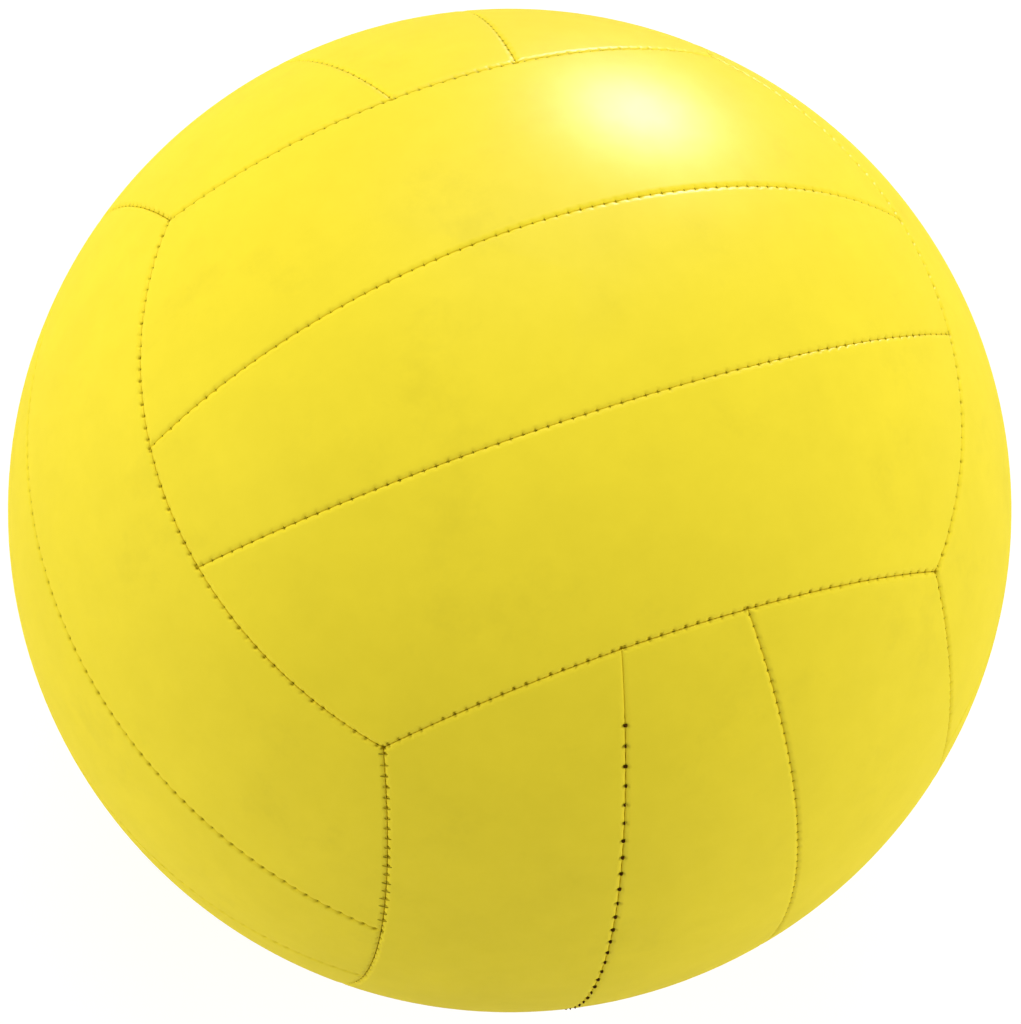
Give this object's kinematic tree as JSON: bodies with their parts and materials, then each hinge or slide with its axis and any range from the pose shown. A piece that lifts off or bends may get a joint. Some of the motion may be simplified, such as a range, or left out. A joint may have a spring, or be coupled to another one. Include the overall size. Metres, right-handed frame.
{
  "type": "volleyball",
  "caption": "Indoor volleyball: a sewn cover of curved synthetic-leather strips over a foam-and-cloth backing, with an inflated rubber bladder and a needle valve inside.",
  "frame": {"origin": "centre of the ball", "axes": "+Z out of the middle of the top group of strips, X along that group's strips, +Y along the valve's axis"},
  "size_m": [0.21, 0.2097, 0.21],
  "materials": {
    "cover": "yellow synthetic leather, fine grain, satin",
    "backing": "foam and woven cloth laminate",
    "thread": "waxed polyester thread",
    "bladder": "butyl rubber",
    "valve": "moulded rubber",
    "core": "soft moulded rubber"
  },
  "bodies": {
    "root": {"cover_top_outer_a": "cover", "cover_top_middle": "cover", "cover_top_outer_b": "cover", "cover_bottom_outer_a": "cover", "cover_bottom_middle": "cover", "cover_bottom_outer_b": "cover", "cover_right_outer_a": "cover", "cover_right_middle": "cover", "cover_right_outer_b": "cover", "cover_left_outer_a": "cover", "cover_left_middle": "cover", "cover_left_outer_b": "cover", "cover_back_outer_a": "cover", "cover_back_middle": "cover", "cover_back_outer_b": "cover", "cover_front_outer_a": "cover", "cover_front_middle": "cover", "cover_front_outer_b": "cover", "backing_top_outer_a": "backing", "backing_top_middle": "backing", "backing_top_outer_b": "backing", "backing_bottom_outer_a": "backing", "backing_bottom_middle": "backing", "backing_bottom_outer_b": "backing", "backing_right_outer_a": "backing", "backing_right_middle": "backing", "backing_right_outer_b": "backing", "backing_left_outer_a": "backing", "backing_left_middle": "backing", "backing_left_outer_b": "backing", "backing_back_outer_a": "backing", "backing_back_middle": "backing", "backing_back_outer_b": "backing", "backing_front_outer_a": "backing", "backing_front_middle": "backing", "backing_front_outer_b": "backing", "thread_top": "thread", "thread_bottom": "thread", "thread_right": "thread", "thread_left": "thread", "thread_back": "thread", "thread_front": "thread", "closing_lace": "thread", "bladder": "bladder", "valve_housing": "valve", "valve_core": "core"}
  },
  "joints": []
}
